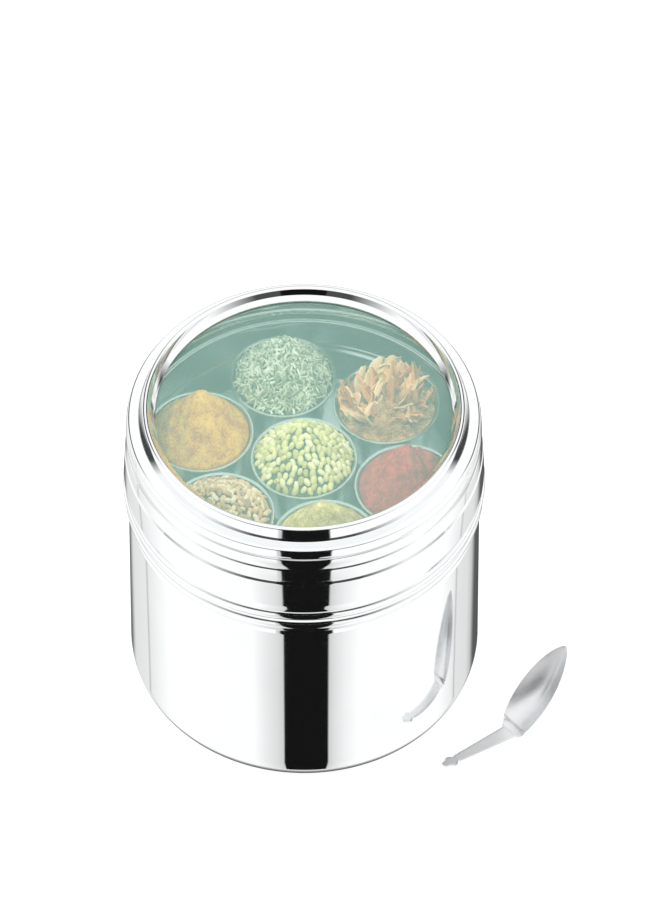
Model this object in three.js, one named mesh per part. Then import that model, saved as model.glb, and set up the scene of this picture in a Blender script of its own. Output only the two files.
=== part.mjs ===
// A tall stainless steel masala dabba: a canister with a lift-off see-through lid, an inner pan that hangs on
// the canister's neck, seven cups of spice standing in the pan, and a small spoon lying beside the box.
// Millimetres, +Z up. The origin is the centre of the canister's flat base.
import * as THREE from "three";
import { mergeVertices } from "three/addons/utils/BufferGeometryUtils.js";

// ---- driving dimensions ----
const BODY_RADIUS = 84.5;
const CORNER_RADIUS = 21.5;
const WALL_TOP = 118.6;
const SHEET = 0.8; // steel thickness of the canister and the lid
const PAN_SHEET = 0.7;
const CUP_SHEET = 0.6;
const GAP = 0.3; // clearance between pieces that rest on each other

const BEAD = { radius: 82.3, z: 126.7, tube: 4 }; // outward bead that the lid stands on
const NECK_RADIUS = 82.9;
const NECK_BOTTOM = 131;
const NECK_TOP = 155.5;

const RIM = { radius: 83.4, z: 134.6, tube: 3.7 }; // rolled rim at the foot of the lid
const CREST = { radius: 76.7, z: 186.2, tube: 1.9 }; // top edge of the raised ring round the window
const RING_RADIUS = CREST.radius + CREST.tube;
const LEDGE = { radius: 83.2, z: 179.7, tube: 1.3 }; // outer edge of the flat ledge round the ring
const LEDGE_TOP = LEDGE.z + LEDGE.tube;
const WINDOW_RADIUS = 71.2;

const PANE_RADIUS = 75;
const PANE_THICKNESS = 2;
const PANE_BOTTOM = 179.9;
const SEAL_RADIUS = 77.4;
const SEAL_TOP = 184.6;
const RETAINER_BOTTOM = 173.7;

const PAN_BOTTOM = 119;
const PAN_RADIUS = 81.8;
const PAN_STEP = 79.8; // radius of the pan below its shoulder
const FLANGE_RADIUS = NECK_RADIUS + 0.2; // small enough for the lid's rim to pass
const SHOULDER_BOTTOM = 137.2;
const SHOULDER_TOP = 140.8;

const CUP_RADIUS = 25.9;
const CUP_BASE_RADIUS = 19.5;
const CUP_BOTTOM = PAN_BOTTOM + PAN_SHEET + GAP;
const CUP_TOP = 150.2;
const CUP_RING = 52.6; // distance of the outer cups from the middle
const FIRST_CUP_ANGLE = 161; // degrees, the left-hand cup

const SPOON = {
  handle: 44,
  bowl: 51.3,
  handleHalfWidth: 2.5, // at the finial
  neckHalfWidth: 4.4,
  bowlHalfWidth: 9.2,
  bowlDepth: 7.6,
  sheet: 0.9,
  rise: 44, // degrees from level to the bowl's rim, which rises towards its tip
  handleRise: 12, // degrees from level to the handle, which rises towards its end
  neck: { x: 99.3, y: -48.75 }, // where the neck lies beside the box
  heading: 41.5, // degrees, the way the bowl points, anticlockwise from +X
};

const BEND_LENGTH = 5; // of the spoon's neck

const SEGMENTS = 40;
const CUP_SEGMENTS = 20;
const HEAP_SEGMENTS = 12;

// ---- materials ----
function finish(color, roughness, metalness) {
  return new THREE.MeshStandardMaterial({ color, roughness, metalness });
}
const polishedSteel = () => finish(0xd9dcde, 0.12, 1);
const satinSteel = () => finish(0xcfd4d6, 0.28, 1);
const clearPane = new THREE.MeshStandardMaterial({
  color: 0xa9d6c9,
  roughness: 0.08,
  metalness: 0,
  transparent: true,
  opacity: 0.5,
});
const silicone = finish(0x4b5352, 0.6, 0);

const root = new THREE.Group();

// ---- profile tools: a profile is a list of Vector2 (radius, height) ----
const point = (radius, height) => new THREE.Vector2(radius, height);

function arc(centre, tube, fromDegrees, toDegrees, steps) {
  const points = [];
  for (let i = 0; i <= steps; i++) {
    const a = THREE.MathUtils.degToRad(fromDegrees + ((toDegrees - fromDegrees) * i) / steps);
    points.push(point(centre.radius + tube * Math.cos(a), centre.z + tube * Math.sin(a)));
  }
  return points;
}

// The line at a distance to the left of an outline, seen along it, with mitred corners.
function offset(outline, distance) {
  return outline.map((p, i) => {
    const before = outline[Math.max(0, i - 1)];
    const after = outline[Math.min(outline.length - 1, i + 1)];
    const into = p.clone().sub(i === 0 ? p.clone().sub(after.clone().sub(p)) : before).normalize();
    const out = (i === outline.length - 1 ? p.clone().sub(before) : after.clone().sub(p)).normalize();
    const normal = point(-(into.y + out.y), into.x + out.x).normalize();
    const mitre = Math.max(0.6, normal.dot(point(-out.y, out.x)));
    return p.clone().addScaledVector(normal, distance / mitre);
  });
}

// A thin wall that follows an outline. One that starts on the axis stays closed there.
function wall(outline, thickness) {
  const inner = offset(outline, thickness);
  const onAxis = outline[0].x === 0;
  if (onAxis) inner[0].x = 0;
  const loop = [...outline, ...inner.reverse()];
  return onAxis ? loop : [...loop, loop[0].clone()];
}

function revolve(profile, segments) {
  const lathe = new THREE.LatheGeometry(profile, segments);
  lathe.rotateX(Math.PI / 2);
  lathe.deleteAttribute("normal");
  lathe.deleteAttribute("uv");
  return facingOut(lathe);
}

// Gives the geometry merged vertices and faces that point out, whichever way round its profile was drawn.
function facingOut(geometry) {
  const merged = mergeVertices(geometry, 1e-4);
  const positions = merged.getAttribute("position");
  const order = Array.from(merged.index.array);
  const corners = [new THREE.Vector3(), new THREE.Vector3(), new THREE.Vector3()];
  const kept = [];
  let volume = 0;
  for (let i = 0; i < order.length; i += 3) {
    const [a, b, c] = order.slice(i, i + 3);
    if (a === b || b === c || a === c) continue;
    [a, b, c].forEach((v, k) => corners[k].fromBufferAttribute(positions, v));
    volume += corners[0].dot(corners[1].clone().cross(corners[2]));
    kept.push([a, b, c]);
  }
  merged.setIndex((volume < 0 ? kept.map(([a, b, c]) => [a, c, b]) : kept).flat());
  return merged;
}

function add(name, geometry, material, x = 0, y = 0, z = 0) {
  const mesh = new THREE.Mesh(geometry, material);
  mesh.name = name;
  mesh.position.set(x, y, z);
  root.add(mesh);
  return mesh;
}

// ---- canister ----
function canisterOutline() {
  const corner = { radius: BODY_RADIUS - CORNER_RADIUS, z: CORNER_RADIUS };
  return [
    point(0, 0),
    ...arc(corner, CORNER_RADIUS, -90, 0, 7),
    point(BODY_RADIUS, WALL_TOP),
    point(BODY_RADIUS - 0.8, WALL_TOP + 1.8),
    ...arc(BEAD, BEAD.tube, -48, 66, 5),
    point(NECK_RADIUS, NECK_BOTTOM),
    point(NECK_RADIUS, NECK_TOP),
  ];
}

// ---- inner pan: hangs by its flange on the top edge of the neck ----
function panOutline() {
  const bend = 4;
  const corner = { radius: PAN_STEP - 1 - bend, z: PAN_BOTTOM + bend };
  const flange = NECK_TOP + GAP;
  return [
    point(0, PAN_BOTTOM),
    ...arc(corner, bend, -90, 0, 3),
    point(PAN_STEP, SHOULDER_BOTTOM),
    point(PAN_RADIUS, SHOULDER_TOP),
    point(PAN_RADIUS, flange),
    point(FLANGE_RADIUS, flange),
  ];
}

// ---- one cup, standing on z = 0 ----
function cupOutline() {
  const height = CUP_TOP - CUP_BOTTOM;
  const corner = { radius: CUP_BASE_RADIUS - 4, z: 4 };
  return [
    point(0, 0),
    ...arc(corner, 4, -90, -18, 3),
    point(24.6, height - 1.2),
    point(CUP_RADIUS, height - CUP_SHEET),
  ];
}

// The spice in a cup: it fills the cup to just under the rim and rises to a heap.
function fillProfile(heapHeight) {
  const depth = CUP_TOP - CUP_BOTTOM;
  const clear = CUP_SHEET + GAP;
  return [
    point(0, clear),
    point(14.4, clear),
    point(18.2, 5.2),
    point(23.4, depth - 1),
    point(15.5, depth + heapHeight * 0.36),
    point(7.2, depth + heapHeight * 0.76),
    point(0, depth + heapHeight),
  ];
}

// ---- lid ----
// From the window's lip over the raised ring, out along the ledge and down the stepped side.
function lidOutline() {
  return [
    point(WINDOW_RADIUS, 182.8),
    point(72.4, 184.6),
    point(74.2, 186.5),
    ...arc(CREST, CREST.tube, 110, 0, 4),
    point(RING_RADIUS, LEDGE_TOP + 0.5),
    point(RING_RADIUS + 0.5, LEDGE_TOP),
    ...arc(LEDGE, LEDGE.tube, 90, 10, 2),
    point(84.7, 177.4),
    point(84.2, 174.8),
    point(85.1, 173.2),
    point(85.3, 171),
    point(85, 168.2),
    point(84.3, 166.9),
    point(84.9, 165.4),
    point(85.6, 159.8),
    point(85.1, 158.4),
    point(86, 156.8),
    point(86.6, 142),
    point(86.2, 139.2),
  ];
}

function lidProfile() {
  const outer = lidOutline();
  // Seen along the outline the inside is on its right, so the offset is negative.
  const inner = offset(outer, -SHEET);
  const hem = arc(RIM, RIM.tube, 48, -66, 5);
  const turnedIn = [point(83.4, RIM.z - RIM.tube + 0.2), point(83.4, RIM.z + 3)];
  return [...outer, ...hem, ...turnedIn, ...inner.reverse(), outer[0].clone()];
}

function ringProfile(innerRadius, outerRadius, bottom, top) {
  return [
    point(innerRadius, bottom),
    point(outerRadius, bottom),
    point(outerRadius, top),
    point(innerRadius, top),
    point(innerRadius, bottom),
  ];
}

// L-shaped steel ring pressed into the lid under the pane.
function retainingProfile() {
  const top = PANE_BOTTOM - GAP;
  return [
    point(72.6, top),
    point(72.6, top - SHEET),
    point(82.3, top - SHEET),
    point(82.3, RETAINER_BOTTOM),
    point(83.1, RETAINER_BOTTOM),
    point(83.1, top),
    point(72.6, top),
  ];
}

// ---- spoon: a strip shaped along its length, x from the finial (negative) to the tip of the bowl ----
function spoonHalfWidth(x) {
  if (x > 0) {
    const t = Math.min(1, x / SPOON.bowl);
    const leaf = Math.max(0, Math.sin(Math.PI * t)) ** 0.6;
    return Math.max(0.5, SPOON.neckHalfWidth * (1 - t) ** 3 + SPOON.bowlHalfWidth * leaf);
  }
  const back = -x / SPOON.handle;
  const lobe = (centre, radius) => Math.sqrt(Math.max(0, radius ** 2 - (x + centre) ** 2));
  const flare = THREE.MathUtils.lerp(SPOON.neckHalfWidth, SPOON.handleHalfWidth, back / 0.8);
  const strip = back < 0.8 ? flare : 0;
  return Math.max(0.9, strip, lobe(38.8, 3.5), lobe(42.4, 2.1));
}

function spoonDepth(x, across) {
  if (x <= 0) return 0;
  const t = Math.min(1, x / SPOON.bowl);
  return SPOON.bowlDepth * Math.max(0, Math.sin(Math.PI * t ** 0.85)) ** 0.8 * (1 - across * across);
}

// The handle and the bowl both rise away from the neck, which bends over a short stretch.
function spoonGeometry() {
  const length = SPOON.handle + SPOON.bowl;
  const box = new THREE.BoxGeometry(length, 2, SPOON.sheet, 46, 6, 1);
  box.deleteAttribute("normal");
  box.deleteAttribute("uv");
  const geometry = mergeVertices(box, 1e-4);
  const positions = geometry.getAttribute("position");
  for (let i = 0; i < positions.count; i++) {
    const x = positions.getX(i) + length / 2 - SPOON.handle;
    const across = positions.getY(i);
    const z = positions.getZ(i) - spoonDepth(x, across);
    const bent = THREE.MathUtils.clamp(x / BEND_LENGTH, 0, 1);
    const rise = THREE.MathUtils.degToRad(THREE.MathUtils.lerp(-SPOON.handleRise, SPOON.rise, bent));
    positions.setXYZ(
      i,
      x * Math.cos(rise) - z * Math.sin(rise),
      across * spoonHalfWidth(x),
      x * Math.sin(rise) + z * Math.cos(rise),
    );
  }
  return facingOut(geometry);
}

// ---- assembly ----
add("canister_body", revolve(wall(canisterOutline(), SHEET), SEGMENTS), polishedSteel());
add("inner_pan", revolve(wall(panOutline(), PAN_SHEET), SEGMENTS), satinSteel());

const SPICES = [
  // name, colour, heap height, place: -1 is the middle, 0 to 5 go clockwise from the left
  ["green_pods", 0xb8b878, 26, -1],
  ["turmeric_powder", 0xd98a1c, 28.4, 0],
  ["cumin_seeds", 0x8a8a68, 28.4, 1],
  ["mace_blades", 0xb5763f, 28, 2],
  ["chilli_powder", 0xa03028, 27.5, 3],
  ["coriander_powder", 0xb3a363, 27, 4],
  ["fenugreek_seeds", 0xb98a4a, 18, 5],
];
for (const [name, color, heapHeight, place] of SPICES) {
  const angle = THREE.MathUtils.degToRad(FIRST_CUP_ANGLE - 60 * place);
  const distance = place < 0 ? 0 : CUP_RING;
  const x = distance * Math.cos(angle);
  const y = distance * Math.sin(angle);
  add(name + "_cup", revolve(wall(cupOutline(), CUP_SHEET), CUP_SEGMENTS), satinSteel(), x, y, CUP_BOTTOM);
  add(name, revolve(fillProfile(heapHeight), HEAP_SEGMENTS), finish(color, 0.9, 0), x, y, CUP_BOTTOM);
}

add("lid_shell", revolve(lidProfile(), SEGMENTS), polishedSteel());
const pane = [
  point(0, PANE_BOTTOM),
  point(PANE_RADIUS, PANE_BOTTOM),
  point(PANE_RADIUS, PANE_BOTTOM + PANE_THICKNESS),
  point(0, PANE_BOTTOM + PANE_THICKNESS),
];
add("window_pane", revolve(pane, SEGMENTS), clearPane);
const seal = ringProfile(PANE_RADIUS + GAP, SEAL_RADIUS, PANE_BOTTOM, SEAL_TOP);
add("window_seal", revolve(seal, SEGMENTS), silicone);
add("retaining_ring", revolve(retainingProfile(), SEGMENTS), satinSteel());

const spoonShape = spoonGeometry();
spoonShape.computeBoundingBox();
const spoonLift = -spoonShape.boundingBox.min.z;
const spoon = add("spoon", spoonShape, polishedSteel(), SPOON.neck.x, SPOON.neck.y, spoonLift);
spoon.rotation.z = THREE.MathUtils.degToRad(SPOON.heading);

export default root;
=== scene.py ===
"""A tall stainless masala dabba: windowed lid, inner pan, seven cups of spice and a small spoon.

Pieces are built in millimetres in the frame's own axes, and turned into metres when a mesh is made.
"""
import math
import random

import bmesh
import bpy
import numpy as np
from mathutils import Matrix, Vector


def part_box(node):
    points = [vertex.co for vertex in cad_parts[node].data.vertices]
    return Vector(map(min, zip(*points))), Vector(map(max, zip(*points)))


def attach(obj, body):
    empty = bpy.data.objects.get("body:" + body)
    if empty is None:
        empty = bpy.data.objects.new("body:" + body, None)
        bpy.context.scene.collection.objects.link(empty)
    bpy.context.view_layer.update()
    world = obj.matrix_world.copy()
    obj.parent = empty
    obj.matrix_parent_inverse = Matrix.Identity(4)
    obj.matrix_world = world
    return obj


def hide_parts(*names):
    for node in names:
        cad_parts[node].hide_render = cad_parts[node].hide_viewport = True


MM = 0.001
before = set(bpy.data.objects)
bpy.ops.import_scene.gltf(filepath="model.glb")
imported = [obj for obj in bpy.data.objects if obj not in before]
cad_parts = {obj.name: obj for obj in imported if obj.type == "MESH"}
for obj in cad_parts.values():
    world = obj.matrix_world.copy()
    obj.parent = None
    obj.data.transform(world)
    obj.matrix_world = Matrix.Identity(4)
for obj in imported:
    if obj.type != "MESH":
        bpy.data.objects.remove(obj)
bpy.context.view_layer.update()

SPICES = ["green_pods", "turmeric_powder", "cumin_seeds", "mace_blades", "chilli_powder", "coriander_powder",
          "fenugreek_seeds"]


def box_mm(node):
    low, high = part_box(node)
    return low / MM, high / MM


# ---------------------------------------------------------------- sizes, in mm, from the frame
CANISTER_LOW, CANISTER_HIGH = box_mm("canister_body")
LID_LOW, LID_HIGH = box_mm("lid_shell")
PANE_LOW, PANE_HIGH = box_mm("window_pane")
PAN_LOW, PAN_HIGH = box_mm("inner_pan")
NECK_TOP = CANISTER_HIGH.z
LID_TOP = LID_HIGH.z
PAN_FLOOR = PAN_LOW.z
BODY_RADIUS = CANISTER_HIGH.x - 1.8
CORNER_RADIUS = 21.5
WALL_TOP = 118.6
BEAD = (82.3, 126.7, 4.0)  # radius, height and tube of the bead that the lid stands on
RIM = (83.4, LID_LOW.z + 3.5, 3.7)  # the rolled rim at the lid's foot
CREST = (75.9, LID_TOP - 1.5, 1.5)  # the top edge of the ring round the window
RING_FOOT = 79  # radius where the ring's sloping outer wall meets the ledge
LEDGE = (83.2, 179.7, 1.3)  # the outer edge of the ledge round the ring
LEDGE_TOP = LEDGE[1] + LEDGE[2]
SHEET = 0.8


# ---------------------------------------------------------------- outlines: lists of (radius, height)
def arc(radius, height, tube, start, end, steps=14):
    """Points on a circle round (radius, height), from start to end degrees."""
    points = []
    for i in range(steps + 1):
        a = math.radians(start + (end - start) * i / steps)
        points.append((radius + tube * math.cos(a), height + tube * math.sin(a)))
    return points


def rounded(corners, step=7.0):
    """An open outline with its corners rounded. A corner is (radius, height) or (radius, height, fillet)."""
    points = []
    last = len(corners) - 1
    for i, corner in enumerate(corners):
        here = Vector(corner[:2])
        fillet = corner[2] if len(corner) > 2 else 0.0
        if i in (0, last) or fillet <= 0:
            points.append(tuple(here))
            continue
        back = Vector(corners[i - 1][:2]) - here
        ahead = Vector(corners[i + 1][:2]) - here
        turn = math.pi - back.angle(ahead)
        if turn < 0.02:
            points.append(tuple(here))
            continue
        reach = min(fillet * math.tan(turn / 2), 0.48 * back.length, 0.48 * ahead.length)
        start = here + back.normalized() * reach
        end = here + ahead.normalized() * reach
        steps = max(2, int(math.degrees(turn) / step) + 1)
        for k in range(steps + 1):
            t = k / steps
            curve = start * (1 - t) ** 2 + here * (2 * t * (1 - t)) + end * t**2
            points.append(tuple(curve))
    return points


def offset(outline, distance):
    """The outline moved to its left, as seen along it."""
    points = [Vector(p) for p in outline]
    moved = []
    for i, p in enumerate(points):
        into = (p - points[max(0, i - 1)]) if i else (points[1] - p)
        out = (points[min(len(points) - 1, i + 1)] - p) if i < len(points) - 1 else into
        into, out = into.normalized(), out.normalized()
        along = (into + out).normalized()
        normal = Vector((-along.y, along.x))
        scale = max(0.7, normal.dot(Vector((-out.y, out.x))))
        moved.append(tuple(p + normal * distance / scale))
    return moved


def sheet_profile(outer, thickness):
    """A closed outline round a bent sheet: outer, then its offset back again."""
    inner = offset(outer, thickness)
    if outer[0][0] == 0:
        inner[0] = (0.0, inner[0][1])
    return outer + inner[::-1]


# ---------------------------------------------------------------- meshes
def new_object(name, vertices, faces, smooth_angle=32):
    mesh = bpy.data.meshes.new(name)
    mesh.from_pydata([tuple(c * MM for c in v) for v in vertices], [], faces)
    mesh.validate()
    obj = bpy.data.objects.new(name, mesh)
    bpy.context.scene.collection.objects.link(obj)
    mesh.shade_smooth()
    mesh.set_sharp_from_angle(angle=math.radians(smooth_angle))
    return obj


def lathe(name, outline, segments=160, centre=(0, 0), lift=0.0, smooth_angle=32):
    """Turns a closed outline round the vertical line through centre."""
    vertices, rings = [], []
    for radius, height in outline:
        if radius < 1e-6:
            rings.append([len(vertices)] * segments)
            vertices.append((centre[0], centre[1], height + lift))
            continue
        rings.append(list(range(len(vertices), len(vertices) + segments)))
        for k in range(segments):
            a = 2 * math.pi * k / segments
            x, y = centre[0] + radius * math.cos(a), centre[1] + radius * math.sin(a)
            vertices.append((x, y, height + lift))
    faces = []
    for i in range(len(rings)):
        lower, upper = rings[i], rings[(i + 1) % len(rings)]
        for k in range(segments):
            n = (k + 1) % segments
            loop = []
            for v in (lower[k], lower[n], upper[n], upper[k]):
                if v not in loop:
                    loop.append(v)
            if len(loop) > 2:
                faces.append(loop)
    obj = new_object(name, vertices, faces, smooth_angle)
    face_out(obj)
    return obj


def face_out(obj):
    bm = bmesh.new()
    bm.from_mesh(obj.data)
    bmesh.ops.recalc_face_normals(bm, faces=bm.faces)
    bm.to_mesh(obj.data)
    bm.free()


# ---------------------------------------------------------------- materials
class Nodes:
    """A material's node tree, with short calls to add and join nodes."""

    def __init__(self, name):
        self.material = bpy.data.materials.new(name)
        self.material.use_nodes = True
        self.tree = self.material.node_tree
        self.shader = self.tree.nodes["Principled BSDF"]

    def add(self, kind, inputs=None, **settings):
        node = self.tree.nodes.new(kind)
        for key, value in settings.items():
            setattr(node, key, value)
        for key, value in (inputs or {}).items():
            if isinstance(value, bpy.types.NodeSocket):
                self.tree.links.new(value, node.inputs[key])
            else:
                node.inputs[key].default_value = value
        return node

    def set(self, **values):
        for key, value in values.items():
            socket = self.shader.inputs[key.replace("_", " ")]
            if isinstance(value, bpy.types.NodeSocket):
                self.tree.links.new(value, socket)
            else:
                socket.default_value = value

    def position(self):
        return self.add("ShaderNodeTexCoord").outputs["Object"]

    def noise(self, vector, scale, detail=4.0, rough=0.55):
        inputs = {"Vector": vector, "Scale": scale, "Detail": detail, "Roughness": rough}
        return self.add("ShaderNodeTexNoise", inputs).outputs["Fac"]

    def ramp(self, value, stops):
        node = self.add("ShaderNodeValToRGB", {"Fac": value})
        elements = node.color_ramp.elements
        while len(elements) < len(stops):
            elements.new(0.5)
        for element, (place, color) in zip(elements, stops):
            element.position = place
            element.color = (*color, 1) if len(color) == 3 else color
        return node.outputs["Color"]

    def remap(self, value, low, high, from_low=0.3, from_high=0.7):
        inputs = {"Value": value, "From Min": from_low, "From Max": from_high, "To Min": low, "To Max": high}
        return self.add("ShaderNodeMapRange", inputs).outputs["Result"]

    def bump(self, height, strength, distance):
        node = self.add("ShaderNodeBump", {"Height": height, "Strength": strength, "Distance": distance})
        self.set(Normal=node.outputs["Normal"])


def steel(name, roughness, tone, spin=0.04):
    """Polished stainless: faint lines left by the spinning lathe, soft smears and fine scratches."""
    m = Nodes(name)
    place = m.position()
    split = m.add("ShaderNodeSeparateXYZ", {"Vector": place})
    x, y, z = (split.outputs[k] for k in "XYZ")
    flat = m.add("ShaderNodeCombineXYZ", {"X": x, "Y": y, "Z": 0.0}).outputs["Vector"]
    radius = m.add("ShaderNodeVectorMath", {0: flat}, operation="LENGTH").outputs["Value"]
    rings = m.add("ShaderNodeCombineXYZ", {"X": radius, "Y": z, "Z": 0.0}).outputs["Vector"]
    lines = m.noise(rings, 2600, 3, 0.6)
    smears = m.noise(place, 28, 4, 0.6)
    scratches = m.noise(place, 900, 6, 0.7)
    m.set(Metallic=1.0)
    m.set(Base_Color=m.ramp(smears, [(0.3, [c * 0.965 for c in tone]), (0.7, tone)]))
    worn = m.add("ShaderNodeMath", {0: lines, 1: scratches}, operation="MULTIPLY").outputs["Value"]
    m.set(Roughness=m.remap(worn, roughness * 0.8, roughness * 1.35, 0.15, 0.4))
    m.bump(lines, spin, 0.00002)
    return m.material


def pane_material():
    """Clear acrylic that has gone faintly hazy, with a pale mint tint."""
    m = Nodes("hazy_pane")
    haze = m.noise(m.position(), 22, 3, 0.5)
    m.set(Base_Color=m.ramp(haze, [(0.3, (0.38, 0.66, 0.57)), (0.7, (0.44, 0.72, 0.63))]))
    m.set(Roughness=0.05, Alpha=0.18, IOR=1.49)
    return m.material


def plain_rubber():
    m = Nodes("seal_rubber")
    grain = m.noise(m.position(), 900, 3)
    m.set(Base_Color=m.ramp(grain, [(0.3, (0.05, 0.06, 0.06)), (0.7, (0.08, 0.09, 0.09))]), Roughness=0.6)
    m.bump(grain, 0.2, 0.0001)
    return m.material


def powder(name, dark, mid, light, grain=1500):
    """Loose powder: clumps and pores of three tones."""
    m = Nodes(name)
    place = m.position()
    clumps = m.noise(place, 160, 6, 0.65)
    fine = m.noise(place, grain, 4, 0.7)
    halves = {"Factor": 0.5, "A": clumps, "B": fine}
    both = m.add("ShaderNodeMix", halves, data_type="FLOAT").outputs["Result"]
    m.set(Base_Color=m.ramp(both, [(0.43, dark), (0.5, mid), (0.57, light)]), Roughness=0.95)
    m.bump(both, 0.9, 0.0012)
    return m.material


def seed_material(name, tones):
    """Seeds, each of its own tone: the tone comes from the mesh's "tone" attribute."""
    m = Nodes(name)
    tone = m.add("ShaderNodeAttribute", attribute_name="tone").outputs["Fac"]
    place = m.position()
    skin = m.noise(place, 1400, 3, 0.6)
    parts = {0: tone, 1: m.remap(skin, -0.12, 0.12)}
    mixed = m.add("ShaderNodeMath", parts, operation="ADD").outputs["Value"]
    count = len(tones) - 1
    m.set(Base_Color=m.ramp(mixed, [(i / count, c) for i, c in enumerate(tones)]), Roughness=0.55)
    m.bump(skin, 0.5, 0.0002)
    return m.material


def give(obj, material, body=None, replaces=None):
    obj.data.materials.clear()
    obj.data.materials.append(material)
    if body:
        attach(obj, body)
    if replaces:
        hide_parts(replaces)
    return obj


# ---------------------------------------------------------------- canister, lid and pan
def canister_outline():
    corner, bead_top = CORNER_RADIUS, BEAD[1] + BEAD[2]
    return (
        [(0, 0), (BODY_RADIUS - corner - 9, 0)]
        + arc(BODY_RADIUS - corner, corner, corner, -90, 0, 28)
        + rounded([(BODY_RADIUS, 50), (BODY_RADIUS, WALL_TOP, 2), (83.7, WALL_TOP + 1.9, 0.8),
                   (84.9, WALL_TOP + 4.8, 0.3)])
        + arc(*BEAD, -46, 64, 18)
        + rounded([(83.4, bead_top - 0.1, 0.3), (82.9, bead_top + 0.5, 0.4), (82.9, NECK_TOP - 0.4),
                   (82.6, NECK_TOP)])
    )


def lid_outline():
    """From the window's lip over the raised ring, along the ledge and down the stepped side."""
    ring = (
        rounded([(71.2, 182.3), (71.1, 182.9, 0.3), (71.9, 183.7, 0.6), (73.2, 185.1, 0.8), (74.6, 187.3)])
        + arc(*CREST, 146, 17, 18)
        + rounded([(77.4, CREST[1] + 0.2), (RING_FOOT, LEDGE_TOP, 0.5), (82.9, LEDGE_TOP - 0.05, 0.5)])
        + arc(*LEDGE, 84, 14, 8)
    )
    side = rounded([
        (84.7, 178.6), (85.05, 176.9, 0.4), (84.7, 175.6, 0.3), (84.2, 174.8, 0.25), (84.9, 174, 0.8),
        (85.4, 170.8, 9), (84.9, 167.7, 0.8), (84.3, 166.9, 0.25), (84.9, 166.1, 0.6),
        (85.7, 159.7, 0.5), (85.2, 158.5, 0.3), (86, 157.2, 0.8), (86.6, 142, 3), (86.1, 139.1, 0.3),
        (86, 138.3),
    ])
    return ring + side


def make_canister(material):
    profile = sheet_profile(canister_outline(), SHEET)
    return give(lathe("canister_shell", profile), material, "canister", "canister_body")


def make_lid(material):
    outer = lid_outline()
    inner = offset(outer, -SHEET)
    hem = arc(*RIM, 46, -66, 18)
    turned_in = [(83.6, RIM[1] - 3.5), (83.4, RIM[1] - 2.6), (83.4, RIM[1] + 2.8)]
    profile = outer + hem + turned_in + inner[::-1]
    return give(lathe("lid_steel", profile), material, "lid", "lid_shell")


def make_pane():
    edge = PANE_HIGH.x
    low, high = PANE_LOW.z, PANE_HIGH.z
    outline = rounded([(0, low), (edge, low, 0.3), (edge, high, 0.3), (0, high)])
    return give(lathe("pane", outline), pane_material(), "lid", "window_pane")


def make_seal():
    low, high = box_mm("window_seal")
    inner, outer = PANE_HIGH.x + 0.3, high.x - 0.4  # clear of the ring's sloping wall
    top = high.z - 0.6
    outline = rounded([(inner, low.z + 1), (inner, low.z, 0.5), (outer, low.z, 0.5), (outer, top, 0.5),
                       (inner, top, 0.5), (inner, low.z + 1.2)])
    return give(lathe("seal", outline), plain_rubber(), "lid", "window_seal")


def make_retainer(material):
    low, high = box_mm("retaining_ring")
    inner = 72.6
    outer = rounded([(inner, high.z), (high.x, high.z, 0.7), (high.x, low.z)])
    profile = outer + offset(outer, -SHEET)[::-1]
    return give(lathe("retainer", profile), material, "lid", "retaining_ring")


def make_pan(material):
    flange = PAN_HIGH.z - 0.7
    outer = rounded([(0, PAN_FLOOR), (60, PAN_FLOOR), (78.8, PAN_FLOOR, 4), (79.6, 135.3, 2),
                     (79.8, 137.2, 0.5), (81.1, 138.5, 0.7), (81.1, 140, 0.5), (81.8, 140.8, 0.5),
                     (81.8, flange, 0.8),
                     (PAN_HIGH.x - 0.1, flange)])
    return give(lathe("pan", sheet_profile(outer, 0.7)), material, "pan", "inner_pan")


def centre_of(node):
    low, high = box_mm(node)
    return ((low.x + high.x) / 2, (low.y + high.y) / 2)


def make_cup(spice, material):
    low, high = box_mm(spice + "_cup")
    height = high.z - low.z
    rim = (high.x - low.x) / 2
    outer = rounded([(0, 0), (13, 0), (19.4, 0, 3.6), (24.3, height - 2.6, 1), (24.6, height - 1.3, 0.5),
                     (rim - 0.5, height - 1.0, 0.5), (rim - 0.1, height - 0.6)])
    inner = rounded([(0, 0.6), (13, 0.6), (19.0, 0.6, 3), (23.7, height - 2.6, 1), (24.0, height - 0.6, 0.6),
                     (24.8, height - 0.1, 0.6), (rim - 0.4, height - 0.1, 0.4), (rim - 0.1, height - 0.5)])
    obj = lathe("cup_of_" + spice, outer + inner[::-1], 72, centre_of(spice + "_cup"), low.z)
    return give(obj, material, spice + "_in_cup", spice + "_cup")


# ---------------------------------------------------------------- spices
FILL_RADIUS = 23.4  # mm, inside of a cup at its lip
CUP_LIP = 1.0  # mm, from a cup's rim down to its filling


def heap_height(r, rise, apex=0.12):
    """Height of a heap above the cup's rim at a share r of its radius: a cone with a soft tip and foot."""
    tip = math.sqrt(r * r + apex * apex) - apex
    return rise * (1 - tip / (math.sqrt(1 + apex * apex) - apex))


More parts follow.
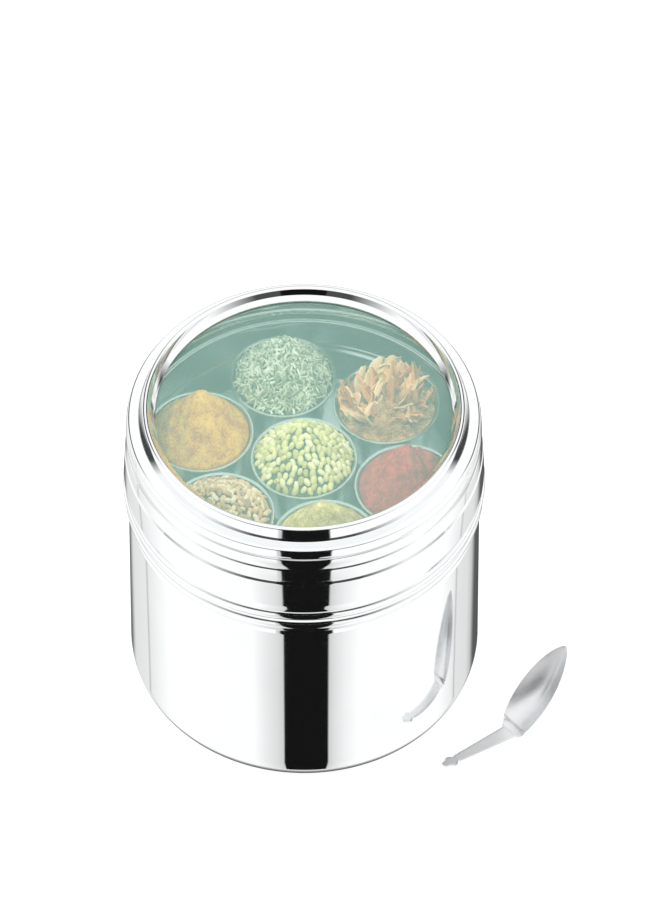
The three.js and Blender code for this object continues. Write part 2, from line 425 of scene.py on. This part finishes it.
def make_heap(name, spice, rise, rough, seed, shrink=0.0, segments=96, rings=34):
    """The body of a heap, with a lumpy skin."""
    low, high = box_mm(spice)
    cx, cy = centre_of(spice)
    rim = box_mm(spice + "_cup")[1].z - CUP_LIP - shrink
    rng = random.Random(seed)
    waves = [(rng.uniform(0.25, 1.4), rng.uniform(0, 2 * math.pi), rng.uniform(0, 6.28)) for _ in range(14)]

    def lump(x, y):
        total = 0
        for scale, way, phase in waves:
            total += math.sin((x * math.cos(way) + y * math.sin(way)) * scale + phase) / (0.6 + scale)
        return total * rough

    vertices = [(cx, cy, rim + heap_height(0, rise) - shrink * 0.5)]
    for i in range(1, rings + 1):
        r = i / rings
        for k in range(segments):
            a = 2 * math.pi * k / segments
            x, y = FILL_RADIUS * r * math.cos(a), FILL_RADIUS * r * math.sin(a)
            fade = min(1, (1 - r) * 5)
            z = rim + heap_height(r, rise) + lump(x, y) * fade - shrink * 0.5
            vertices.append((cx + x, cy + y, min(z, high.z - 0.1)))
    foot = len(vertices)
    for k in range(segments):
        a = 2 * math.pi * k / segments
        vertices.append((cx + 17 * math.cos(a), cy + 17 * math.sin(a), low.z))
    bottom = len(vertices)
    vertices.append((cx, cy, low.z))
    faces = []
    for k in range(segments):
        n = (k + 1) % segments
        faces.append((0, 1 + k, 1 + n))
        for i in range(rings - 1):
            a, b = 1 + i * segments, 1 + (i + 1) * segments
            faces.append((a + k, b + k, b + n, a + n))
        last = 1 + (rings - 1) * segments
        faces.append((last + k, foot + k, foot + n, last + n))
        faces.append((foot + k, bottom, foot + n))
    obj = new_object(name, vertices, faces, 60)
    face_out(obj)
    return obj


def seed_shape(length, width, thick, tip=1.0, around=8, along=7, bend=0.0):
    """One seed lying along X: points and faces of a pointed oval."""
    points = [(-length / 2, 0, 0)]
    for i in range(1, along):
        t = i / along
        x = -length / 2 * math.cos(math.pi * t)
        swell = math.sin(math.pi * t) ** tip
        for k in range(around):
            a = 2 * math.pi * k / around
            y = width / 2 * swell * math.cos(a) + bend * (1 - (2 * x / length) ** 2)
            points.append((x, y, thick / 2 * swell * math.sin(a)))
    points.append((length / 2, 0, 0))
    faces = []
    for k in range(around):
        n = (k + 1) % around
        faces.append((0, 1 + n, 1 + k))
        for i in range(along - 2):
            a, b = 1 + i * around, 1 + (i + 1) * around
            faces.append((a + k, a + n, b + n, b + k))
        last = 1 + (along - 2) * around
        faces.append((last + k, last + n, len(points) - 1))
    return np.array(points), faces


def scatter(name, spice, rise, shape, count, spacing, seed,
            tilt=25, sink=0.3, size=0.15, reach=0.965, wander=180):
    """Covers a heap with seeds, none closer than spacing. They point downhill, give or take wander."""
    top = box_mm(spice)[1].z
    cx, cy = centre_of(spice)
    rim = box_mm(spice + "_cup")[1].z - CUP_LIP
    rng = random.Random(seed)
    points, faces = shape
    places, all_points, all_faces, tones = [], [], [], []
    tries = 0
    while len(places) < count and tries < count * 60:
        tries += 1
        r = reach * math.sqrt(rng.random())
        a = rng.uniform(0, 2 * math.pi)
        x, y = FILL_RADIUS * r * math.cos(a), FILL_RADIUS * r * math.sin(a)
        z = heap_height(r, rise)
        if any((x - p) ** 2 + (y - q) ** 2 + (z - h) ** 2 < spacing**2 for p, q, h in places):
            continue
        places.append((x, y, z))
        step = 0.02
        slope = (heap_height(r + step, rise) - heap_height(max(0, r - step), rise)) / (2 * step * FILL_RADIUS)
        normal = Vector((-slope * math.cos(a), -slope * math.sin(a), 1)).normalized()
        downhill = Vector((math.cos(a), math.sin(a), slope)).normalized()
        turn = Matrix((downhill, normal.cross(downhill), normal)).transposed()
        spin = Matrix.Rotation(math.radians(rng.uniform(-wander, wander)), 3, "Z")
        lean = Matrix.Rotation(math.radians(rng.uniform(-tilt, tilt)), 3, "Y")
        scale = 1 + rng.uniform(-size, size)
        matrix = np.array(turn @ spin @ lean) * scale
        moved = points @ matrix.T + np.array([cx + x, cy + y, rim + z - sink])
        moved[:, 2] -= max(0, moved[:, 2].max() - (top - 0.1))
        start = len(all_points) * len(points)
        all_points.append(moved)
        all_faces.extend([tuple(v + start for v in f) for f in faces])
        tones.append(rng.random())
    obj = new_object(name, np.concatenate(all_points).tolist(), all_faces, 60)
    attribute = obj.data.attributes.new("tone", "FLOAT", "POINT")
    attribute.data.foreach_set("value", np.repeat(tones, len(points)))
    return obj


def join(name, objects):
    """Makes one piece of several meshes, each with its own material."""
    bpy.ops.object.select_all(action="DESELECT")
    for obj in objects:
        obj.select_set(True)
    bpy.context.view_layer.objects.active = objects[0]
    bpy.ops.object.join()
    objects[0].name = name
    return objects[0]


def finish_spice(obj, spice):
    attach(obj, spice + "_in_cup")
    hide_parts(spice)


def rise_of(spice):
    return box_mm(spice)[1].z - box_mm(spice + "_cup")[1].z


def make_powder(spice, material, rough, seed):
    heap = make_heap(spice + "_heap", spice, rise_of(spice), rough, seed)
    heap.data.materials.append(material)
    finish_spice(heap, spice)


def make_seeds(spice, shape, count, spacing, seed, material, painted_gap_shade, **scattering):
    # The heap under the seeds is coloured near black: painted shade in the gaps between the seeds.
    rise = rise_of(spice) - 1.0
    heap = make_heap(spice + "_heap", spice, rise, 0.2, seed, shrink=1.2, segments=48, rings=16)
    heap.data.materials.append(painted_gap_shade)
    seeds = scatter(spice + "_loose", spice, rise, shape, count, spacing, seed, **scattering)
    seeds.data.materials.append(material)
    finish_spice(join(spice + "_heap", [heap, seeds]), spice)


POWDER_TONES = {
    "turmeric": [(0.60, 0.19, 0.004), (0.92, 0.40, 0.015), (1.0, 0.58, 0.06)],
    "chilli": [(0.34, 0.008, 0.008), (0.60, 0.03, 0.025), (0.78, 0.09, 0.06)],
    "ground_coriander": [(0.52, 0.33, 0.05), (0.84, 0.60, 0.14), (0.98, 0.80, 0.30)],
    # The *_shade tones colour the heaps under loose seeds near black: painted shade between the seeds.
    "pod_shade": [(0.05, 0.06, 0.01), (0.12, 0.13, 0.03), (0.2, 0.2, 0.06)],
    "cumin_shade": [(0.03, 0.03, 0.01), (0.1, 0.1, 0.05), (0.2, 0.2, 0.1)],
    "fenugreek_shade": [(0.08, 0.03, 0.01), (0.2, 0.09, 0.03), (0.3, 0.15, 0.06)],
}
SEED_TONES = {
    "pod_skin": [(0.50, 0.44, 0.10), (0.78, 0.72, 0.22), (0.92, 0.86, 0.36), (1.0, 0.95, 0.58)],
    "cumin_skin": [(0.14, 0.15, 0.07), (0.40, 0.42, 0.25), (0.66, 0.68, 0.48), (0.88, 0.90, 0.72)],
    "fenugreek_skin": [(0.44, 0.20, 0.07), (0.72, 0.42, 0.18), (0.86, 0.60, 0.32), (0.92, 0.76, 0.52)],
}


def shade_of(name):
    return powder(name, *POWDER_TONES[name])


def skin_of(name):
    return seed_material(name, SEED_TONES[name])


def all_spices():
    make_powder("turmeric_powder", shade_of("turmeric"), 0.35, 3)
    make_powder("chilli_powder", shade_of("chilli"), 0.5, 4)
    make_powder("coriander_powder", shade_of("ground_coriander"), 0.35, 5)
    make_mace()
    make_seeds("green_pods", seed_shape(4.4, 2.9, 2.7, 0.65), 460, 2.8, 11,
               skin_of("pod_skin"), shade_of("pod_shade"), wander=38, tilt=18)
    make_seeds("cumin_seeds", seed_shape(5.8, 1.15, 1.05, 0.8, 6, 6, 0.25), 1200, 1.35, 12,
               skin_of("cumin_skin"), shade_of("cumin_shade"), tilt=35, wander=75)
    make_seeds("fenugreek_seeds", seed_shape(3.9, 2.5, 2.2, 0.6), 560, 2.25, 13,
               skin_of("fenugreek_skin"), shade_of("fenugreek_shade"))


# ---------------------------------------------------------------- mace
MACE_BLADES = 46
MACE_TONES = [(0.55, 0.20, 0.05), (0.85, 0.38, 0.12), (1.0, 0.55, 0.22), (1.0, 0.74, 0.42)]
MACE_REACH = 22.5  # mm, from the cup's middle to the farthest tip


def ribbon(path, widths, fold, thickness, across=6):
    """A dried blade of mace along a path: a strip folded round its middle, with a skin on both sides."""
    count = len(path)
    top, under = [], []
    side = None
    for i, point in enumerate(path):
        along = (path[min(i + 1, count - 1)] - path[max(i - 1, 0)]).normalized()
        if side is None:
            side = along.cross(Vector((0.3, 0.2, 1))).normalized()
        side = (side - along * side.dot(along)).normalized()
        normal = along.cross(side)
        for k in range(across + 1):
            t = 2 * k / across - 1
            ruffle = 0.25 * math.sin(i * 1.3 + k * 2.1)
            rise = normal * (fold * widths[i] * t * t + ruffle * abs(t))
            place = point + side * widths[i] * t + rise
            edge = 1 - 0.7 * t * t
            top.append(place + normal * thickness * edge)
            under.append(place - normal * thickness * edge)
    row = across + 1
    faces = []
    base = len(top)
    for i in range(count - 1):
        for k in range(across):
            a = i * row + k
            faces.append((a, a + 1, a + 1 + row, a + row))
            faces.append((base + a, base + a + row, base + a + 1 + row, base + a + 1))
        for k, flip in ((0, False), (across, True)):
            a = i * row + k
            loop = (a, a + row, base + a + row, base + a)
            faces.append(loop if not flip else loop[::-1])
    for i, flip in ((0, True), (count - 1, False)):
        for k in range(across):
            a = i * row + k
            loop = (a, a + 1, base + a + 1, base + a)
            faces.append(loop if not flip else loop[::-1])
    return top + under, faces


def make_mace():
    """Blades that stand and lean in the cup, each forked into a few fingers, over broken pieces."""
    spice = "mace_blades"
    high = box_mm(spice)[1]
    cup_top = box_mm(spice + "_cup")[1].z
    cx, cy = centre_of(spice)
    rng = random.Random(21)
    vertices, faces, tones = [], [], []

    def add(path, widths, fold, tone):
        points, loops = ribbon(path, widths, fold, 0.32)
        start = len(vertices)
        vertices.extend(points)
        faces.extend(tuple(v + start for v in loop) for loop in loops)
        tones.extend([tone] * len(points))

    for n in range(MACE_BLADES):
        a = rng.uniform(0, 2 * math.pi)
        root_radius = 15 * math.sqrt(rng.random())
        foot = cup_top - 4 + rng.uniform(-2, 3)
        root = Vector((root_radius * math.cos(a), root_radius * math.sin(a), foot))
        lean_x = math.cos(a) * rng.uniform(0.1, 0.8)
        lean_y = math.sin(a) * rng.uniform(0.1, 0.8)
        lean = Vector((lean_x, lean_y, 1)).normalized()
        length = rng.uniform(13, 25) * (1 - root_radius / 45)
        curl = Vector((rng.uniform(-1, 1), rng.uniform(-1, 1), rng.uniform(-0.6, 0.1)))
        tone = rng.random()
        steps = 9
        trunk = []
        for i in range(steps + 1):
            t = i / steps
            trunk.append(clamp_in_cup(root + lean * length * t + curl * 5 * t * t, high.z))
        width = rng.uniform(2.2, 4.2)
        along = [math.pi * min(1, i / steps * 0.95 + 0.05) for i in range(steps + 1)]
        swell = [width * (0.55 + 0.75 * math.sin(t)) for t in along]
        add([p + Vector((cx, cy, 0)) for p in trunk], swell, rng.uniform(0.2, 0.7), tone)
        for _ in range(rng.choice((1, 2, 2, 3))):
            start = rng.randint(3, 6)
            way = (trunk[start] - trunk[start - 2]).normalized()
            way += Vector((rng.uniform(-0.9, 0.9), rng.uniform(-0.9, 0.9), rng.uniform(0, 0.5)))
            way.normalize()
            reach = rng.uniform(5, 11)
            bend = Vector((rng.uniform(-1, 1), rng.uniform(-1, 1), rng.uniform(-1, 0.2)))
            finger = [clamp_in_cup(trunk[start] + way * reach * i / 6 + bend * 2.5 * (i / 6) ** 2, high.z)
                      for i in range(7)]
            taper = [1.5 * (1 - 0.75 * (i / 6) ** 1.5) for i in range(7)]
            add([p + Vector((cx, cy, 0)) for p in finger], taper, 0.3, tone)
    blades = new_object("mace_loose", vertices, faces, 50)
    attribute = blades.data.attributes.new("tone", "FLOAT", "POINT")
    attribute.data.foreach_set("value", tones)
    face_out(blades)
    skin = seed_material("mace_skin", MACE_TONES)
    blades.data.materials.append(skin)
    bed = make_heap("mace_blades_heap", spice, 6, 0.9, 22, shrink=1.0, segments=48, rings=16)
    bed.data.materials.append(powder("mace_bed", (0.22, 0.08, 0.02), (0.55, 0.26, 0.09), (0.80, 0.44, 0.19)))
    finish_spice(join("mace_blades_heap", [bed, blades]), spice)


def clamp_in_cup(point, top):
    """Keeps a point of a blade over its cup and under the pane."""
    radius = math.hypot(point.x, point.y)
    scale = MACE_REACH / radius if radius > MACE_REACH else 1
    return Vector((point.x * scale, point.y * scale, min(point.z, top - 0.6)))


# ---------------------------------------------------------------- spoon
SPOON = {
    "handle": 44,
    "bowl": 51.3,
    "handle_half_width": 2.5,
    "neck_half_width": 4.4,
    "bowl_half_width": 9.2,
    "bowl_depth": 7.6,
    "sheet": 0.9,
    "rise": 44,
    "handle_rise": 12,
    "neck": (99.3, -48.75),
    "heading": 41.5,
}


def spoon_half_width(x):
    if x > 0:
        t = min(1, x / SPOON["bowl"])
        leaf = max(0, math.sin(math.pi * t)) ** 0.6
        return max(0.45, SPOON["neck_half_width"] * (1 - t) ** 3 + SPOON["bowl_half_width"] * leaf)

    def lobe(centre, radius):
        return math.sqrt(max(0, radius**2 - (x + centre) ** 2))

    back = -x / SPOON["handle"]
    flare = SPOON["neck_half_width"] + (SPOON["handle_half_width"] - SPOON["neck_half_width"]) * back / 0.8
    return max(0.9, flare if back < 0.8 else 0, lobe(38.8, 3.5), lobe(42.4, 2.1))


def spoon_section(x, around=14):
    """The closed outline of the sheet across the spoon at x: (across, height), round its two edges."""
    t = min(1, max(0, x / SPOON["bowl"]))
    depth = SPOON["bowl_depth"] * max(0, math.sin(math.pi * t**0.9)) ** 1.1
    half = spoon_half_width(x)
    thick = SPOON["sheet"] / 2
    points = []
    for i in range(around + 1):
        a = 2 * i / around - 1
        points.append((half * a, -depth * (1 - a * a) + thick * (1 - a**8) + thick * 0.3))
    for i in range(1, around):
        a = 1 - 2 * i / around
        points.append((half * a, -depth * (1 - a * a) - thick * (1 - a**8)))
    return points


def make_spoon(material):
    handle, bowl = SPOON["handle"], SPOON["bowl"]
    stations = [-handle + (handle + bowl) * i / 150 for i in range(151)]
    heading = math.radians(SPOON["heading"])
    vertices, faces = [], []
    for x in stations:
        share = min(5, max(0, x)) / 5
        rise = math.radians(-SPOON["handle_rise"] + (SPOON["rise"] + SPOON["handle_rise"]) * share)
        for y, z in spoon_section(x):
            forward = x * math.cos(rise) - z * math.sin(rise)
            height = x * math.sin(rise) + z * math.cos(rise)
            vertices.append((SPOON["neck"][0] + forward * math.cos(heading) - y * math.sin(heading),
                             SPOON["neck"][1] + forward * math.sin(heading) + y * math.cos(heading), height))
    lowest = min(v[2] for v in vertices)
    vertices = [(x, y, z - lowest) for x, y, z in vertices]
    around = len(spoon_section(0))
    for i in range(len(stations) - 1):
        for k in range(around):
            n = (k + 1) % around
            faces.append((i * around + k, i * around + n, (i + 1) * around + n, (i + 1) * around + k))
    faces.append(tuple(range(around)))
    faces.append(tuple(range(len(vertices) - around, len(vertices)))[::-1])
    spoon = new_object("spoon_steel", vertices, faces, 50)
    face_out(spoon)
    return give(spoon, material, "spoon", "spoon")


# ---------------------------------------------------------------- studio
def make_camera():
    """A long lens that looks down on the box from the front."""
    elevation = math.radians(50.5)
    distance = 6.253
    aim_on_axis = Vector((0, 0, 0.0073))
    up = Vector((0, math.sin(elevation), math.cos(elevation)))
    target = aim_on_axis + Vector((0.0127, 0, 0)) + up * 0.0962
    place = aim_on_axis + Vector((0, -math.cos(elevation), math.sin(elevation))) * distance
    data = bpy.data.cameras.new("camera")
    data.lens = 512
    data.sensor_width = 36
    data.clip_end = 100
    camera = bpy.data.objects.new("camera", data)
    camera.location = place
    camera.rotation_euler = (target - place).to_track_quat("-Z", "Y").to_euler()
    bpy.context.scene.collection.objects.link(camera)
    bpy.context.scene.camera = camera


def reflector_material():
    """A card lit to the brightness that each of its points carries."""
    material = bpy.data.materials.new("reflector")
    material.use_nodes = True
    tree = material.node_tree
    tree.nodes.clear()
    output = tree.nodes.new("ShaderNodeOutputMaterial")
    glow = tree.nodes.new("ShaderNodeEmission")
    shade = tree.nodes.new("ShaderNodeAttribute")
    shade.attribute_name = "shade"
    tree.links.new(shade.outputs["Fac"], glow.inputs["Color"])
    tree.links.new(glow.outputs["Emission"], output.inputs["Surface"])
    return material


def reflector(name, columns, rows, place, shade, material):
    """A grid of cards that is only seen in polished metal, as a studio's flags and panels are."""
    points, shades, faces = [], [], []
    for i in range(columns + 1):
        for j in range(rows + 1):
            points.append(place(i / columns, j / rows))
            shades.append(shade(i / columns, j / rows))
    for i in range(columns):
        for j in range(rows):
            a = i * (rows + 1) + j
            faces.append((a, a + 1, a + rows + 2, a + rows + 1))
    mesh = bpy.data.meshes.new(name)
    mesh.from_pydata(points, [], faces)
    attribute = mesh.attributes.new("shade", "FLOAT", "POINT")
    attribute.data.foreach_set("value", shades)
    mesh.materials.append(material)
    card = bpy.data.objects.new(name, mesh)
    bpy.context.scene.collection.objects.link(card)
    card.visible_camera = False
    card.visible_diffuse = False
    card.visible_shadow = False
    card.visible_transmission = False


def between(value, stops):
    """The value of a line through (place, height) stops."""
    if value <= stops[0][0]:
        return stops[0][1]
    for (x0, y0), (x1, y1) in zip(stops, stops[1:]):
        if value <= x1:
            return y0 + (y1 - y0) * (value - x0) / (x1 - x0)
    return stops[-1][1]


# Brightness of what the straight wall mirrors, by degrees round it from the front: a black gap in the middle,
# white panels beside it, and darker ends where the wall turns away.
WALL_STOPS = [(-90, 0.10), (-84, 0.14), (-81, 0.24), (-79, 0.45), (-77, 0.66), (-75, 0.72), (-64, 0.79),
              (-63, 0.5), (-62, 0.79), (-56, 0.9), (-50, 1), (-17, 1), (-13, 0.84), (-9, 0.72), (-6.9, 0.62),
              (-6.5, 0),
              (7.6, 0), (8, 0.62), (10, 0.74), (13, 0.86), (18, 1), (50, 1), (57, 0.85), (58.6, 0.8),
              (59.3, 0.45), (60, 0.76), (68, 0.72), (72, 0.55), (74, 0.27), (76, 0.1), (90, 0.08)]
WHITE = 1.09
BLACK = 0.007


def make_reflectors():
    material = reflector_material()
    body = BODY_RADIUS * MM
    reach = 3.4
    gap = 0.0006

    def floor_place(u, v):
        a = math.radians(-90 + 180 * u)
        d = reach * v**3
        return (body * math.sin(a) + d * math.sin(2 * a), -body * math.cos(a) - d * math.cos(2 * a), gap)

    def floor_shade(u, v):
        degrees = -90 + 180 * u
        distance = reach * v**3
        fade = 0 if abs(degrees) < 7.8 else between(distance, [(0, 0), (0.16, 0), (0.3, 1)])
        far = between(distance, [(1.2, 1), (3.4, 0.6)])
        return max(BLACK, WHITE * far * (between(degrees, WALL_STOPS) * (1 - fade) + fade))

    reflector("card_floor", 720, 36, floor_place, floor_shade, material)

    # A dark ring of card round the foot, seen only in the steel: a painted contact shadow for the box's foot
    # to mirror.
    def foot_place(u, v):
        a = 2 * math.pi * u
        r = body - 0.015 * (1 - v)
        return (r * math.sin(a), -r * math.cos(a), gap)

    def foot_shade(u, v):
        return WHITE * between(v, [(0, 0.05), (0.55, 0.08), (0.8, 0.35), (1, 0.9)])

    reflector("card_foot", 240, 15, foot_place, foot_shade, material)

    def behind_place(u, v):
        return (body * (2 * u - 1) * 0.97, body * 1.02 + 0.5 * v, gap)

    def behind_shade(u, v):
        return between(v, [(0, 0.25), (0.5, 0.45), (1, 1.0)])

    reflector("card_behind", 8, 24, behind_place, behind_shade, material)

    def dome_place(u, v):
        azimuth, elevation = math.radians(360 * u), math.radians(90 * v)
        flat = 4 * math.cos(elevation)
        return (flat * math.sin(azimuth), -flat * math.cos(azimuth), 4 * math.sin(elevation) - 0.01)

    def dome_shade(u, v):
        side, elevation = abs((360 * u + 180) % 360 - 180), 90 * v
        gap = between(side, [(14, 1), (15, 0)]) * between(elevation, [(26, 1), (34, 0)])
        flag = between(side, [(30, 1), (64, 0)]) * between(elevation, [(4, 0), (8, 1), (24, 1), (32, 0)])
        panel_side = between(side, [(100, 0), (112, 1), (154, 1), (164, 0)])
        panel = panel_side * between(elevation, [(8, 0), (12, 1), (38, 1), (44, 0)])
        horizon = 0.6 * between(elevation, [(0, 1), (8, 0)])
        back = 0.55 * between(side, [(150, 0), (166, 1)]) * between(elevation, [(26, 1), (36, 0)])
        return max(BLACK, WHITE * (1 - max(gap, flag * 0.93, panel * 0.94, back, horizon)))

    reflector("card_dome", 360, 90, dome_place, dome_shade, material)


def make_light(name, place, aim, energy, size):
    light = bpy.data.lights.new(name, "AREA")
    light.energy = energy
    light.size = size
    holder = bpy.data.objects.new(name, light)
    holder.location = place
    holder.rotation_euler = (Vector(aim) - holder.location).to_track_quat("-Z", "Y").to_euler()
    holder.visible_glossy = False
    bpy.context.scene.collection.objects.link(holder)


def make_studio():
    size = 12
    floor_mesh = bpy.data.meshes.new("floor")
    corners = [(-size, -size, 0), (size, -size, 0), (size, size, 0), (-size, size, 0)]
    floor_mesh.from_pydata(corners, [], [(0, 1, 2, 3)])
    floor = bpy.data.objects.new("floor", floor_mesh)
    bpy.context.scene.collection.objects.link(floor)
    pale = Nodes("floor_white")
    pale.set(Base_Color=(0.3, 0.3, 0.3, 1), Roughness=0.9)
    pale.set(Emission_Color=(1, 1, 1, 1), Emission_Strength=0.88)
    pale.shader.inputs["Specular IOR Level"].default_value = 0.0
    floor_mesh.materials.append(pale.material)

    world = bpy.data.worlds.new("world")
    world.use_nodes = True
    world.node_tree.nodes["Background"].inputs["Color"].default_value = (1, 1, 1, 1)
    world.node_tree.nodes["Background"].inputs["Strength"].default_value = 1.12
    bpy.context.scene.world = world
    make_light("overhead", (-0.15, -0.25, 1.5), (0, 0, 0.15), 14, 0.6)
    make_reflectors()
    bpy.context.scene.view_settings.view_transform = "Standard"


make_camera()
POLISHED = steel("polished_steel", 0.05, (0.93, 0.945, 0.95))
# The faint green in the satin steel's tone is a painted reflection of the mint pane.
SATIN = steel("satin_steel", 0.16, (0.66, 0.71, 0.70), 0.08)
CUTLERY = steel("cutlery_steel", 0.38, (0.88, 0.89, 0.895), 0.08)
make_canister(POLISHED)
make_lid(POLISHED)
make_pane()
make_seal()
make_retainer(SATIN)
make_pan(SATIN)
for one in SPICES:
    make_cup(one, SATIN)
all_spices()
make_spoon(CUTLERY)
make_studio()
